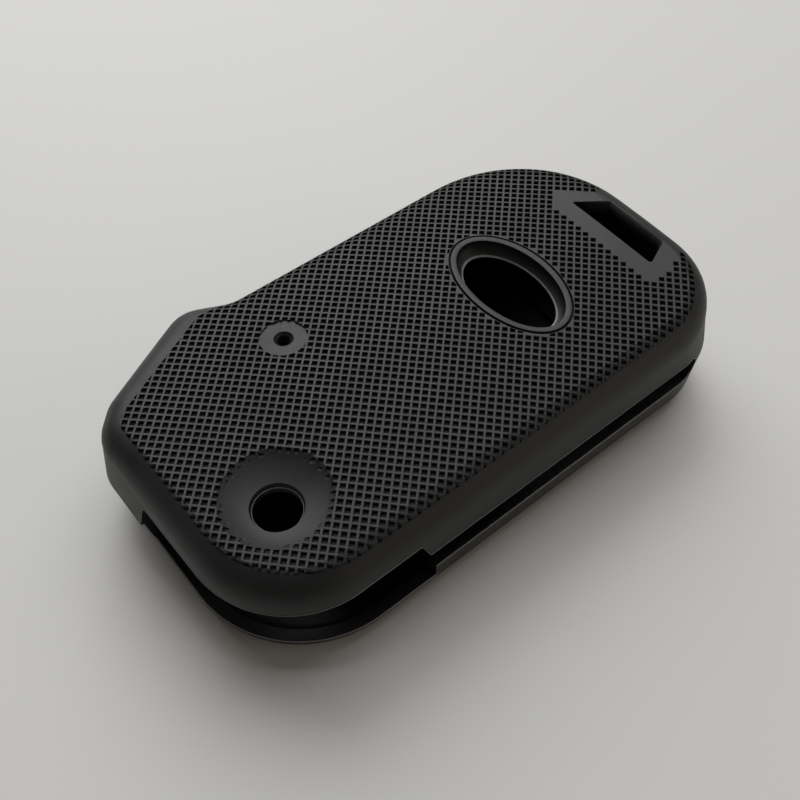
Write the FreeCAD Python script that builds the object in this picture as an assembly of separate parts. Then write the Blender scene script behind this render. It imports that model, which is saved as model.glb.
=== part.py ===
import FreeCAD
import Part
import math
import os

# One-piece silicone cover for a flip key, lying on its button side.
# Millimetres. +X runs to the keyring end, +Y to the closed long side, +Z up through the textured back.
# The origin is at the bottom of the cover, in the middle of its box.

# Overall form
cover_length = 79.5
body_width = 44.55
shoulder_rise = 3.4
thickness = 18.6
side_wall = 1.7
back_wall = 1.8
front_wall = 1.6
back_edge_radius = 3.6
front_edge_radius = 3.2
parting_height = 9.1
back_draft_angle = 5.4
front_draft_angle = 4.0
back_round_steps = 4
front_round_steps = 2
inside_round_steps = 1
crown_overlap_share = 0.5
straightness = 0.002

# The back is part of a large cylinder that runs along the cover, made of flat strips,
# so that the lattice has straight edges
crown_strip = 4.0
crown_drop = 0.95
crown_half_span = 20.0
crown_from_mouth = 19.45

# Plan outline, from the pivot end and from the open mouth side
mouth_pivot_corner_radius = 15.0
mouth_keyring_corner_radius = 11.3
mouth_taper = 0.8
closed_keyring_corner_radius = 20.0
waist_from_pivot_end = 25.7
waist_radius = 4.0
shoulder_from_pivot_end = 19.2
shoulder_radius = 5.4
slope_foot_from_pivot_end = 3.8
slope_foot_from_mouth = 39.45
slope_foot_radius = 6.0
end_bend_from_mouth = 35.0
end_bend_radius = 7.0
back_keyring_corner_growth = 2.2
back_pivot_inset = 0.9
front_pivot_inset = 0.9
front_pivot_corner_growth = 1.2

# The open mouth: a narrow slit for the blade and a taller one round the pivot corner
blade_slit_low = 5.9
blade_slit_height = 4.3
blade_slit_end_from_keyring_end = 8.2
pivot_slit_low = 3.1
pivot_slit_height = 9.5
slit_step_from_pivot_end = 24.3

# Fold line of the back flap, from the end of the blade slit past the pivot collar
fold_gap = 0.12
fold_collar_clearance = 1.0

# Pivot collar: a dish with a round hole, in the flap
pivot_from_pivot_end = 12.2
pivot_from_mouth = 13.25
pivot_hole_diameter = 5.7
pivot_dish_diameter = 12.2
pivot_dish_depth = 1.6
pivot_dish_wall = 1.1
pivot_throat_drop = 0.75
pivot_collar_rim = 0.6
dish_steps = 2

# Screw pad: a smooth disc with a funnel and a small hole
screw_from_pivot_end = 26.5
screw_from_mouth = 32.45
screw_pad_diameter = 6.0
screw_funnel_diameter = 2.6
screw_funnel_depth = 0.7
screw_hole_diameter = 1.6

# Oval badge window with a raised ring and a funnel wall
badge_from_keyring_end = 24.7
badge_from_mouth = 21.75
badge_ring_length = 12.8
badge_ring_width = 20.2
badge_ring_land = 1.0
badge_opening_length = 8.0
badge_opening_width = 15.8
badge_ring_rise = 0.25

# Keyring slot through both faces, with a smooth frame on the back
keyring_slot_from_keyring_end = 5.7
keyring_slot_from_mouth = 20.15
keyring_slot_width = 4.4
keyring_slot_length = 15.0
keyring_slot_slant = 3.2
keyring_slot_corner_radius = 0.6
keyring_frame_margin = 1.6

# Grip lattice on the back: its main ridges, crossed at 45 degrees to the cover, with pits between
lattice_turn = 45
lattice_pitch = 3.0
lattice_ridge = 0.4
lattice_depth = 0.4
lattice_border = 4.3
lattice_gap = 0.3
lattice_least_share = 0.2

# Release collar in the front face, on the pivot's axis
release_hole_diameter = 11.6
release_dish_diameter = 14.6
release_dish_depth = 0.9
release_collar_rim = 0.5

# Button pads in the front face, in a row from the release collar to the keyring slot,
# each on a thin sloping web
button_names = ("lock_button", "unlock_button", "boot_button")
buttons_from_release_collar = 4.2
buttons_from_keyring_slot = 5.4
button_land = 0.6
button_from_mouth = 22.7
button_width = 17.0
button_corner_radius = 3.5
button_corner_limit_share = 0.4
button_corner_steps = 4
button_thickness = 1.5
button_recess = 0.25
button_edge = 0.4
web_span = 1.3
web_thickness = 0.5
web_low = 0.5
web_rise = 0.6

# How far every cutting shape runs past what it cuts
overrun = 2.0


def point(x, y, z=0):
    return FreeCAD.Vector(x, y, z)


def corner_arc(before, here, after, radius):
    """Start, centre and end of the arc that rounds a corner."""
    back = before - here
    onward = after - here
    back.normalize()
    onward.normalize()
    half = back.getAngle(onward) / 2
    middle = back + onward
    middle.normalize()
    run = radius / math.tan(half)
    return here + back * run, here + middle * (radius / math.sin(half)), here + onward * run


# Closed long side of the plan, measured from the pivot end and the mouth side
waist = point(waist_from_pivot_end, body_width)
shoulder = point(shoulder_from_pivot_end, body_width + shoulder_rise)
slope_foot = point(slope_foot_from_pivot_end, slope_foot_from_mouth)

# Places that follow from the sizes above
shoulder_centre = corner_arc(waist, shoulder, slope_foot, shoulder_radius)[1]
overall_width = shoulder_centre.y + shoulder_radius
pivot_end_x = -cover_length / 2
keyring_end_x = cover_length / 2
mouth_y = -overall_width / 2
closed_y = mouth_y + body_width
crown_radius = (crown_half_span ** 2 + crown_drop ** 2) / (2 * crown_drop)
crown_y = mouth_y + crown_from_mouth
pivot_x = pivot_end_x + pivot_from_pivot_end
pivot_y = mouth_y + pivot_from_mouth
slit_step_x = pivot_end_x + slit_step_from_pivot_end
blade_slit_end_x = keyring_end_x - blade_slit_end_from_keyring_end
pivot_collar_diameter = pivot_dish_diameter + 2 * pivot_collar_rim
release_collar_diameter = release_dish_diameter + 2 * release_collar_rim
far_reach = cover_length + overall_width

# The fold line leaves the end of the blade slit and passes the pivot collar at its clearance
fold_start = point(blade_slit_end_x, mouth_y)
to_pivot = point(pivot_x, pivot_y) - fold_start
fold_turn = math.asin((pivot_collar_diameter / 2 + fold_collar_clearance) / to_pivot.Length)
fold_angle = math.atan2(to_pivot.y, to_pivot.x) - fold_turn
fold_along = point(math.cos(fold_angle), math.sin(fold_angle))
fold_run = (pivot_end_x - fold_start.x) / fold_along.x
pivot_slit_end_y = fold_start.y + fold_run * fold_along.y

# The buttons share the length between the release collar and the keyring slot
keyring_slot_x = keyring_end_x - keyring_slot_from_keyring_end
keyring_slot_y = mouth_y + keyring_slot_from_mouth
button_row_start = pivot_x + release_collar_diameter / 2 + buttons_from_release_collar
button_row_end = keyring_slot_x - keyring_slot_width / 2 - buttons_from_keyring_slot
button_pitch = (button_row_end - button_row_start + button_land) / len(button_names)
button_length = button_pitch - button_land - 2 * web_span
button_round = min(button_corner_radius, button_corner_limit_share * button_length)


def side(start, middle, stop):
    """Straight edge, or a shallow arc where the middle lies off the straight line."""
    if middle.distanceToPoint((start + stop) / 2) < straightness:
        return Part.LineSegment(start, stop).toShape()
    return Part.Arc(start, middle, stop).toShape()


def ring(corners, height):
    """Closed wire of sides and tangent arcs; corners are (x, y, radius), height gives z from y."""
    def lifted(place):
        return point(place.x, place.y, height(place.y))

    arcs = []
    for i, (x, y, radius) in enumerate(corners):
        before = point(*corners[i - 1][:2])
        here = point(x, y)
        after = point(*corners[(i + 1) % len(corners)][:2])
        start, centre, stop = corner_arc(before, here, after, radius)
        outward = here - centre
        outward.normalize()
        arcs.append((start, centre + outward * radius, stop))
    edges = []
    for i, (start, top, stop) in enumerate(arcs):
        following = arcs[(i + 1) % len(arcs)][0]
        edges.append(Part.Arc(lifted(start), lifted(top), lifted(stop)).toShape())
        edges.append(side(lifted(stop), lifted((stop + following) / 2), lifted(following)))
    return Part.Wire(edges)


def rounded_wire(corners, z):
    """Flat ring at the height z."""
    return ring(corners, lambda y: z)


def stepped_ring(corners, steps, z):
    """Points of a ring at the height z whose rounded corners are made of straight steps."""
    points = []
    for i, (x, y, radius) in enumerate(corners):
        before = point(*corners[i - 1][:2])
        after = point(*corners[(i + 1) % len(corners)][:2])
        start, centre, stop = corner_arc(before, point(x, y), after, radius)
        turn = math.degrees((start - centre).getAngle(stop - centre))
        for k in range(steps + 1):
            step = FreeCAD.Rotation(point(0, 0, 1), turn * k / steps)
            points.append(centre + step.multVec(start - centre) + point(0, 0, z))
    return points


def panel(*points):
    """Flat face through points."""
    return Part.Face(Part.makePolygon(points + points[:1]))


def skin(low, high):
    """Flat faces between two rings of points."""
    following = list(range(1, len(low))) + [0]
    return [panel(low[i], low[k], high[k], high[i]) for i, k in enumerate(following)]


def closed_solid(faces):
    """Solid inside a closed skin of faces."""
    body = Part.makeSolid(Part.makeShell(faces))
    if body.Volume < 0:
        body.reverse()
    return body


def crowned_wire(corners, depth):
    """Ring that follows the crowned back at a depth below it."""
    return ring(corners, lambda y: crown_height(y) - depth)


def inset(corners, depth):
    """The same outline moved inwards by depth; corners run anticlockwise."""
    moved = []
    for i, (x, y, radius) in enumerate(corners):
        here = point(x, y)
        along = here - point(*corners[i - 1][:2])
        onward = point(*corners[(i + 1) % len(corners)][:2]) - here
        along.normalize()
        onward.normalize()
        left = point(-along.y, along.x) + point(-onward.y, onward.x)
        left.normalize()
        turn = along.x * onward.y - along.y * onward.x
        lean = -left.x * along.y + left.y * along.x
        place = here + left * (depth / lean)
        moved.append((place.x, place.y, radius - depth * math.copysign(1, turn)))
    return moved


def prism(wire, top):
    """Solid from a flat wire up to the height top."""
    bottom = wire.BoundBox.ZMin
    return Part.Face(wire).extrude(point(0, 0, top - bottom))


def block(x0, x1, y0, y1, z0, z1):
    return Part.makeBox(x1 - x0, y1 - y0, z1 - z0, point(x0, y0, z0))


def round_bar(diameter, x, y, z0, z1):
    return Part.makeCylinder(diameter / 2, z1 - z0, point(x, y, z0))


def oval_wire(length, width, x, y, z):
    """Ellipse with its longer axis along Y."""
    major = point(x, y + width / 2, z)
    minor = point(x - length / 2, y, z)
    return Part.Wire(Part.Ellipse(major, minor, point(x, y, z)).toShape())


def rectangle(length, width, radius, x, y):
    """Corners of an upright rectangle round (x, y), anticlockwise."""
    half_length = length / 2
    half_width = width / 2
    return [
        (x - half_length, y - half_width, radius),
        (x + half_length, y - half_width, radius),
        (x + half_length, y + half_width, radius),
        (x - half_length, y + half_width, radius),
    ]


def loft(*wires):
    """Straight-sided solid through flat wires."""
    return Part.makeLoft(list(wires), True, True)


def crown(depth):
    """Everything under the crowned back, lowered by depth."""
    low_y = mouth_y - overrun
    high_y = mouth_y + overall_width + overrun
    count = math.ceil((high_y - low_y) / crown_strip)
    x = pivot_end_x - overrun
    corners = [point(x, high_y, -overrun), point(x, low_y, -overrun)]
    for i in range(count + 1):
        y = low_y + (high_y - low_y) * i / count
        corners.append(point(x, y, crown_height(y) - depth))
    corners.append(corners[0])
    return Part.Face(Part.makePolygon(corners)).extrude(point(cover_length + 2 * overrun, 0, 0))


def crown_height(y):
    """Height of the crowned back at y."""
    return thickness - crown_radius + math.sqrt(crown_radius ** 2 - (y - crown_y) ** 2)


def quarter_round(radius, steps):
    """Inset and depth of points round a rounded edge, from the wall to the face."""
    angles = [math.radians(90 * i / steps) for i in range(steps + 1)]
    return [(radius * (1 - math.cos(a)), radius * (1 - math.sin(a))) for a in angles]


def dish(diameter, depth, hole_diameter, throat_drop, x, y, z):
    """Round hollow in a face at z, curved like a ball and steeper in its throat by the hole."""
    ball_radius = ((diameter / 2) ** 2 + depth ** 2) / (2 * depth)
    bottom = z - depth + ball_radius
    circles = []
    for i in range(dish_steps + 2):
        radius = (hole_diameter + (diameter - hole_diameter) * i / dish_steps) / 2
        height = bottom - math.sqrt(ball_radius ** 2 - radius ** 2) - (throat_drop if i == 0 else 0)
        circles.append(Part.Wire(Part.makeCircle(radius, point(x, y, height))))
    return loft(*circles)


def outline(pivot_inset=0, pivot_corner_growth=0, keyring_corner_growth=0):
    """Plan of the cover, anticlockwise from the mouth's pivot corner."""
    closed_side = [
        (pivot_end_x + place.x, mouth_y + place.y, radius)
        for place, radius in (
            (waist, waist_radius),
            (shoulder, shoulder_radius),
            (slope_foot, slope_foot_radius),
            (point(pivot_inset, end_bend_from_mouth), end_bend_radius),
        )
    ]
    mouth_side = [
        (pivot_end_x + pivot_inset, mouth_y, mouth_pivot_corner_radius + pivot_corner_growth),
        (keyring_end_x, mouth_y + mouth_taper, mouth_keyring_corner_radius + keyring_corner_growth),
        (keyring_end_x, closed_y, closed_keyring_corner_radius),
    ]
    return mouth_side + closed_side


def pillow(margin, low, crown_depth, top_radius, low_radius, top_steps, low_steps):
    """Rounded block, widest at the parting height: the cover's outside, or the space inside it."""
    cap_low = crown_height(mouth_y + overall_width) - crown_depth - top_radius
    base_high = low + low_radius
    back_lean = (cap_low - parting_height) * math.tan(math.radians(back_draft_angle))
    front_lean = (parting_height - base_high) * math.tan(math.radians(front_draft_angle))
    base_plan = inset(outline(front_pivot_inset, front_pivot_corner_growth), margin + front_lean)
    cap_plan = inset(outline(back_pivot_inset, 0, back_keyring_corner_growth), margin + back_lean)
    base_round = reversed(quarter_round(low_radius, low_steps))
    cap_round = quarter_round(top_radius, top_steps)
    last_inset = cap_round[-2][0]
    last_depth = cap_round[-2][1]
    over_inset = top_radius + crown_overlap_share * (top_radius - last_inset)
    cap_round[-1] = (over_inset, -crown_overlap_share * last_depth)
    rings = [rounded_wire(inset(base_plan, step), low + depth) for step, depth in base_round]
    rings.append(rounded_wire(inset(outline(), margin), parting_height))
    rings += [crowned_wire(inset(cap_plan, step), crown_depth + depth) for step, depth in cap_round]
    rings.append(rounded_wire(inset(cap_plan, over_inset), thickness + overrun))
    return loft(*rings).common(crown(crown_depth))


def mouth_cuts():
    """The two slits that open the mouth side and the pivot end."""
    corner_run = max(0, blade_slit_end_x - (keyring_end_x - mouth_keyring_corner_radius))
    inner_radius = mouth_keyring_corner_radius - side_wall
    depth = mouth_keyring_corner_radius - math.sqrt(max(0, inner_radius ** 2 - corner_run ** 2))
    blade = block(
        slit_step_x, blade_slit_end_x,
        mouth_y - overrun, mouth_y + depth + overrun,
        blade_slit_low, blade_slit_low + blade_slit_height,
    )
    pivot = block(
        pivot_end_x - overrun, slit_step_x,
        mouth_y - overrun, pivot_slit_end_y,
        pivot_slit_low, pivot_slit_low + pivot_slit_height,
    )
    return [blade, pivot]


def beyond_fold(gap):
    """Space on the flap's side of the fold line, moved towards the flap by gap."""
    away = point(-fold_along.y, fold_along.x)
    start = fold_start - fold_along * far_reach + away * gap
    stop = fold_start + fold_along * far_reach + away * gap
    corners = [start, stop, stop + away * far_reach, start + away * far_reach, start]
    return Part.Face(Part.makePolygon(corners)).extrude(point(0, 0, thickness + overrun))


def keyring_slot_corners(margin):
    """The slot's outline, slanted at its closed-side end and widened by margin."""
    corners = rectangle(
        keyring_slot_width, keyring_slot_length, keyring_slot_corner_radius,
        keyring_slot_x, keyring_slot_y,
    )
    corners[2] = (corners[2][0], corners[2][1] - keyring_slot_slant, keyring_slot_corner_radius)
    return inset(corners, -margin)


def badge_place():
    return keyring_end_x - badge_from_keyring_end, mouth_y + badge_from_mouth


def screw_place():
    return pivot_end_x + screw_from_pivot_end, mouth_y + screw_from_mouth


def pivot_collar_seat():
    return round_bar(pivot_collar_diameter, pivot_x, pivot_y, parting_height, thickness + overrun)


def screw_seat():
    return round_bar(screw_pad_diameter, *screw_place(), parting_height, thickness + overrun)


def badge_seat():
    wire = oval_wire(badge_ring_length, badge_ring_width, *badge_place(), parting_height)
    return prism(wire, thickness + overrun)


def keyring_seat():
    wire = rounded_wire(keyring_slot_corners(keyring_frame_margin), thickness - back_edge_radius)
    return prism(wire, thickness + overrun)


def release_seat():
    return round_bar(release_collar_diameter, pivot_x, pivot_y, -overrun, front_wall + overrun)


def lattice_field():
    """Plan of the lattice: the crowned part of the back less its smooth places."""
    plan = inset(outline(back_pivot_inset, 0, back_keyring_corner_growth), lattice_border)
    field = Part.Face(rounded_wire(plan, 0))
    gap = 2 * lattice_gap
    smooth_places = (
        Part.Wire(Part.makeCircle((pivot_collar_diameter + gap) / 2, point(pivot_x, pivot_y))),
        Part.Wire(Part.makeCircle((screw_pad_diameter + gap) / 2, point(*screw_place()))),
        oval_wire(badge_ring_length + gap, badge_ring_width + gap, *badge_place(), 0),
        rounded_wire(keyring_slot_corners(keyring_frame_margin + lattice_gap), 0),
    )
    for wire in smooth_places:
        field = field.cut(Part.Face(wire))
    return field


def lattice_squares():
    """Squares between the main ridges, in a turned grid over the whole cover."""
    width = lattice_pitch - lattice_ridge
    reach = math.ceil(far_reach / lattice_pitch / 2)
    turn = FreeCAD.Rotation(point(0, 0, 1), lattice_turn)
    squares = []
    for i in range(-reach, reach):
        for k in range(-reach, reach):
            place = turn.multVec(point(i * lattice_pitch, k * lattice_pitch))
            if abs(place.x) < cover_length / 2 and abs(place.y) < overall_width / 2:
                square = Part.makePlane(width, width)
                square.Placement = FreeCAD.Placement(place, turn)
                squares.append(square)
    return Part.makeCompound(squares)


def lattice_pits():
    """Pits of the lattice, trimmed to its field, each with a flat floor."""
    least = lattice_least_share * (lattice_pitch - lattice_ridge) ** 2
    pits = []
    for face in lattice_field().common(lattice_squares()).Faces:
        if face.Area > least:
            face.translate(point(0, 0, crown_height(face.CenterOfMass.y) - lattice_depth))
            pits.append(face.extrude(point(0, 0, overrun)))
    return Part.makeCompound(pits)


def make_pivot_collar(outside):
    """Dish with a round hole; its wall stands down into the cover."""
    rim_height = crown_height(pivot_y - pivot_dish_diameter / 2)
    low = rim_height - pivot_dish_depth - pivot_dish_wall
    body = round_bar(pivot_collar_diameter, pivot_x, pivot_y, low, thickness + overrun).common(outside)
    hollow = dish(
        pivot_dish_diameter, pivot_dish_depth, pivot_hole_diameter, pivot_throat_drop,
        pivot_x, pivot_y, rim_height,
    )
    hole = round_bar(pivot_hole_diameter, pivot_x, pivot_y, parting_height, thickness + overrun)
    return body.cut(hollow).cut(hole)


def make_screw_pad(outside, inside):
    """Smooth disc with a funnel down to a small hole."""
    x, y = screw_place()
    top = crown_height(y)
    funnel = Part.makeCone(
        screw_hole_diameter / 2, screw_funnel_diameter / 2, screw_funnel_depth,
        point(x, y, top - screw_funnel_depth),
    )
    mouth = round_bar(screw_funnel_diameter, x, y, top, thickness + overrun)
    hole = round_bar(screw_hole_diameter, x, y, parting_height, top)
    return screw_seat().common(outside).cut(inside).cut(funnel).cut(mouth).cut(hole)


def make_badge_ring(inside):
    """Raised oval ring whose wall narrows inwards like a funnel."""
    x, y = badge_place()
    top = thickness + badge_ring_rise
    low = thickness - back_wall - crown_drop
    land = 2 * badge_ring_land
    funnel = loft(
        oval_wire(badge_opening_length, badge_opening_width, x, y, low),
        oval_wire(badge_ring_length - land, badge_ring_width - land, x, y, top),
    )
    return badge_seat().common(crown(-badge_ring_rise)).cut(inside).cut(funnel)


def make_keyring_frame(outside, inside):
    """Smooth frame round the slot in the back."""
    slot = prism(rounded_wire(keyring_slot_corners(0), parting_height), thickness + overrun)
    return keyring_seat().common(outside).cut(inside).cut(slot)


def make_release_collar():
    """Ring in the front face, dished towards the thumb."""
    collar = round_bar(release_collar_diameter, pivot_x, pivot_y, 0, front_wall)
    slope = Part.makeCone(
        release_dish_diameter / 2, release_hole_diameter / 2, release_dish_depth,
        point(pivot_x, pivot_y, 0),
    )
    hole = round_bar(release_hole_diameter, pivot_x, pivot_y, 0, front_wall + overrun)
    return collar.cut(slope).cut(hole)


def button_place(index):
    first_x = button_row_start + web_span + button_length / 2
    return first_x + index * button_pitch, mouth_y + button_from_mouth


def button_ring(index, margin, z):
    """Outline of a pad, widened by margin, at the height z."""
    corners = rectangle(button_length, button_width, button_round, *button_place(index))
    return stepped_ring(inset(corners, -margin), button_corner_steps, z)


def button_hole(index):
    depth = front_wall + 2 * overrun
    return panel(*button_ring(index, web_span, -overrun)).extrude(point(0, 0, depth))


def make_button(index):
    """Pad with a bevelled rim, set a little back from the front face."""
    rim = button_ring(index, -button_edge, button_recess)
    shoulder_ring = button_ring(index, 0, button_recess + button_edge)
    top = button_ring(index, 0, button_recess + button_thickness)
    sides = skin(rim, shoulder_ring) + skin(shoulder_ring, top)
    return closed_solid(sides + [panel(*rim), panel(*top)])


def make_web(index):
    """Thin sloping skin that joins the front face to a pad."""
    outer_low = button_ring(index, web_span, web_low)
    outer_high = button_ring(index, web_span, web_low + web_thickness)
    inner_low = button_ring(index, 0, web_low + web_rise)
    inner_high = button_ring(index, 0, web_low + web_rise + web_thickness)
    rings = (outer_low, inner_low, inner_high, outer_high, outer_low)
    return closed_solid([face for pair in zip(rings, rings[1:]) for face in skin(*pair)])


def make_parts():
    outside = pillow(
        0, 0, 0, back_edge_radius, front_edge_radius, back_round_steps, front_round_steps
    )
    inside = pillow(
        side_wall, front_wall, back_wall,
        back_edge_radius - side_wall, front_edge_radius - side_wall,
        inside_round_steps, inside_round_steps,
    )
    shell = outside.cut(inside)
    for cut in mouth_cuts():
        shell = shell.cut(cut)
    split = block(-far_reach, far_reach, -far_reach, far_reach, -overrun, parting_height)
    front = shell.common(split)
    back = shell.cut(split)
    front = front.cut(release_seat())
    front = front.cut(prism(rounded_wire(keyring_slot_corners(0), -overrun), parting_height))
    for index in range(len(button_names)):
        front = front.cut(button_hole(index))
    for seat in (pivot_collar_seat(), screw_seat(), badge_seat(), keyring_seat()):
        back = back.cut(seat)
    back = back.cut(lattice_pits())
    parts = {
        "front_shell": front,
        "back_shell": back.cut(beyond_fold(-fold_gap / 2)),
        "back_flap": back.common(beyond_fold(fold_gap / 2)),
        "pivot_collar": make_pivot_collar(outside),
        "screw_pad": make_screw_pad(outside, inside),
        "badge_ring": make_badge_ring(inside),
        "keyring_frame": make_keyring_frame(outside, inside),
        "release_collar": make_release_collar(),
    }
    for index, name in enumerate(button_names):
        parts[name] = make_button(index)
        parts[name + "_web"] = make_web(index)
    return parts


def main():
    os.makedirs("parts", exist_ok=True)
    for name, shape in make_parts().items():
        solids = shape.Solids
        print(name, len(solids), "solids", round(shape.Volume, 2), "mm3", shape.isValid())
        body = solids[0] if len(solids) == 1 else shape
        body.exportStep("parts/" + name + ".step")


main()
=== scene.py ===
"""Looks of an empty silicone cover for a flip key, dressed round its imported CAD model."""

import math
import random

import bmesh
import bpy
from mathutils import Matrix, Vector


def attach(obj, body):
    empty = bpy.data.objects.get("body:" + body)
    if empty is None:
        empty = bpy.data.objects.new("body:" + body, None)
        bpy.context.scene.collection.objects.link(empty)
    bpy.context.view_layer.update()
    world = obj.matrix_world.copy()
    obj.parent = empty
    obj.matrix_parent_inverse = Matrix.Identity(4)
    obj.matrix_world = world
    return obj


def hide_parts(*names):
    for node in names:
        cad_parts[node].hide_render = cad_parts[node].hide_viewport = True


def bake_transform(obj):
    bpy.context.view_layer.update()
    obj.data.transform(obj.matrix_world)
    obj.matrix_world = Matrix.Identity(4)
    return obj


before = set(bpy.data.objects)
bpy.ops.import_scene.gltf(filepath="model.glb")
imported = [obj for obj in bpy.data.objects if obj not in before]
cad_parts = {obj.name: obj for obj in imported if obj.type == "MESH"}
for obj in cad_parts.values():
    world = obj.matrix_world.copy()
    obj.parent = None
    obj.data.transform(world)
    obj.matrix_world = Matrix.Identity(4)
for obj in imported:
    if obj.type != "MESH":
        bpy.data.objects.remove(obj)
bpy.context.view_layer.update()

# Sizes are in millimetres and angles in degrees. Meshes are scaled to metres when they are done.
# X runs from the pivot end to the keyring end, Y from the mouth to the closed side and Z from the
# front face, which lies down, to the back.
MM = 0.001

# Overall form
PIVOT_END = -39.75
KEYRING_END = 39.75
MOUTH = -23.61
CLOSED = 20.94
THICKNESS = 18.6
PARTING = 9.1
SIDE_WALL = 1.7
BACK_WALL = 1.8
FRONT_WALL = 1.6
BACK_ROUND = 3.6
BORDER_ROUND = 4.6
BORDER_STOP = (38.0, 10.5)
BORDER_FADE = 9.0
FRONT_ROUND = 3.2
BACK_DRAFT = 5.4
FRONT_DRAFT = 4.0
CROWN_RADIUS = 211.0
CROWN_Y = -4.16
PARTING_LEDGE = 0.4
PARTING_STEP = 0.06

# Plan: runs are from the pivot end or the mouth, and each corner has its radius
MOUTH_LEAN = 0.8
PIVOT_CORNER = 15.0
MOUTH_CORNER = 11.3
CLOSED_CORNER = 20.0
WAIST_RUN = 25.7
WAIST_CORNER = 4.0
SHOULDER_RUN = 19.2
SHOULDER_RISE = 3.4
SHOULDER_CORNER = 5.4
SHOULDER_TIP = 23.61
CHAMFER_RUN = 3.8
CHAMFER_FAR = 39.45
CHAMFER_FAR_CORNER = 6.0
CHAMFER_NEAR = 35.0
CHAMFER_NEAR_CORNER = 7.0
KEYRING_CORNER_GROWTH = 1.4
BACK_PIVOT_INSET = 1.0
BACK_PIVOT_GROWTH = -1.5
BACK_CHAMFER_INSET = 0.35
BACK_CLOSED_INSET = 0.35
FRONT_PIVOT_INSET = 0.9
FRONT_PIVOT_GROWTH = 1.2

# Mouth
BLADE_LOW = 5.9
BLADE_HIGH = 10.2
BLADE_END_X = 31.55
PIVOT_LOW = 3.1
PIVOT_HIGH = 13.1
PIVOT_SLIT_END_Y = 2.26
SLIT_STEP_X = -15.45
SLIT_STEP_RUN = 0.7
UPPER_LIP = 0.16
LOWER_LIP = 0.15
FLASH = 0.075
SLIT_END_ROUND = 0.7
MOUTH_REACH = 3.1
RAGGED = 0.07
RAGGED_WAVES = 1.9
RAGGED_FINE_SHARE = 0.6
RAGGED_FINE_WAVES = 5.3
UPPER_WANDER = 0.03
UPPER_WAVES = 0.7
UPPER_WAVES_START = 100
WANDER_SEED = 5
WANDER_DRAWS = 400

# Features of the back. Edges and sections are pairs: a step out from the size that they follow,
# or in for the land and the lip of the badge ring, and a depth or rise.
PIVOT = (-27.55, -10.36)
PIVOT_HOLE = 2.93
DISH = (-27.3, -10.3)
DISH_RADIUS = 6.3
DISH_DEPTH = 1.6
DISH_OVER = 1.6
DISH_THROAT = 3.22
DISH_THROAT_DROP = 0.6
DISH_THROAT_CURVE = 1.6
DISH_PITS_IN = 0.7
PIVOT_BEAD = 0.045
PIVOT_EDGE = (0.05, 0.3)
# Below this drop from the hole's edge the pivot hole is painted as shade
PIVOT_DARK = 0.06
COLLAR_RADIUS = 6.7
COLLAR_LOW = 15.54
COLLAR_HIGH = 17.4
SCREW = (-13.25, 8.84)
SCREW_PAD = 3.05
SCREW_FACE = (0.02, 0.3)
SCREW_FUNNEL = 1.3
SCREW_FUNNEL_EDGE = ((0.3, -0.01), (0.12, 0.04), (0.0, 0.14), (-0.12, 0.3))
SCREW_HOLE = 0.8
SCREW_HOLE_EDGE = ((0.15, 0.62), (0.04, 0.72), (0.0, 0.85))
BADGE = (15.13, -2.22)
BADGE_OUTER = (5.98, 9.74)
BADGE_OPENING = (4.44, 7.69)
BADGE_OVERLAP = 0.1
BADGE_FOOT = 0.2
BADGE_LAND = 0.82
BADGE_LAND_EDGE = 0.05
BADGE_LAND_SECTION = (
    (0.0, 0.02),
    (0.03, -0.05),
    (0.1, -0.08),
    (0.4, -0.07),
    (0.72, -0.04),
    (0.79, 0.0),
    (BADGE_LAND, 0.07),
    (BADGE_LAND - BADGE_LAND_EDGE, 0.2),
)
BADGE_UNDERCUT = 0.16
BADGE_UNDERCUT_DEPTH = 0.55
BADGE_FUNNEL_DEPTH = 2.05
BADGE_FUNNEL_CURVE = 2.2
BADGE_LIP_SECTION = ((-0.01, 0.08), (-0.12, 0.15), (-0.6, 0.1))
BADGE_GROOVE = 0.24
BADGE_GROOVE_DEPTH = 0.5
BADGE_GROOVE_ROUND = 0.1
BADGE_GROOVE_FLOOR = (0.3, 0.7)
BADGE_GROOVE_EDGE = 0.08
BADGE_BORDER = 0.3
BADGE_PITS_OUT = 0.12
SLOT = [(32.04, -11.3, 0.5), (35.7, -9.5, 0.5), (35.7, 0.2, 0.5), (32.04, 3.64, 0.3)]
SLOT_EDGE = 0.1
SLOT_OUTER_EDGE = 0.9
SLOT_OUTER_DROP = 1.3
# Below this drop from the slot's top the slot walls are painted as shade
SLOT_DARK_DROP = 1.2
SLOT_TOP = 18.55
SLOT_FRAME = [
    (29.6, -13.4, 1.6),
    (34.0, -13.4, 3.0),
    (42.0, -10.3, 1.0),
    (42.0, -2.0, 1.0),
    (32.3, 6.7, 0.8),
    (29.55, 4.4, 0.8),
]

# Features of the front
RELEASE_HOLE = 5.8
RELEASE_HOLE_EDGE = ((0.35, -0.12), (0.12, 0.03), (0.0, 0.2))
RELEASE_DISH = 7.3
RELEASE_DISH_EDGE = ((0.3, -0.02), (0.0, 0.08), (-0.2, 0.24))
RELEASE_DEPTH = 0.9
BUTTONS = ("lock_button", "unlock_button", "boot_button")
BUTTON_FIRST = (-8.75, -0.91)
BUTTON_PITCH = 14.2
BUTTON_LENGTH = 11.0
BUTTON_WIDTH = 17.0
BUTTON_CORNER = 3.5
BUTTON_RECESS = 0.25
BUTTON_THICKNESS = 1.5
BUTTON_DOME_REACH = 3.2
BUTTON_DOME = 0.12
BUTTON_SOFT = 0.45
BUTTON_BEVEL = 0.2
WINDOW_SOFT = 0.25
WEB_SPAN = 1.3
WEB_THICKNESS = 0.5
WEB_LOW = 0.5
WEB_RISE = 0.6

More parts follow.
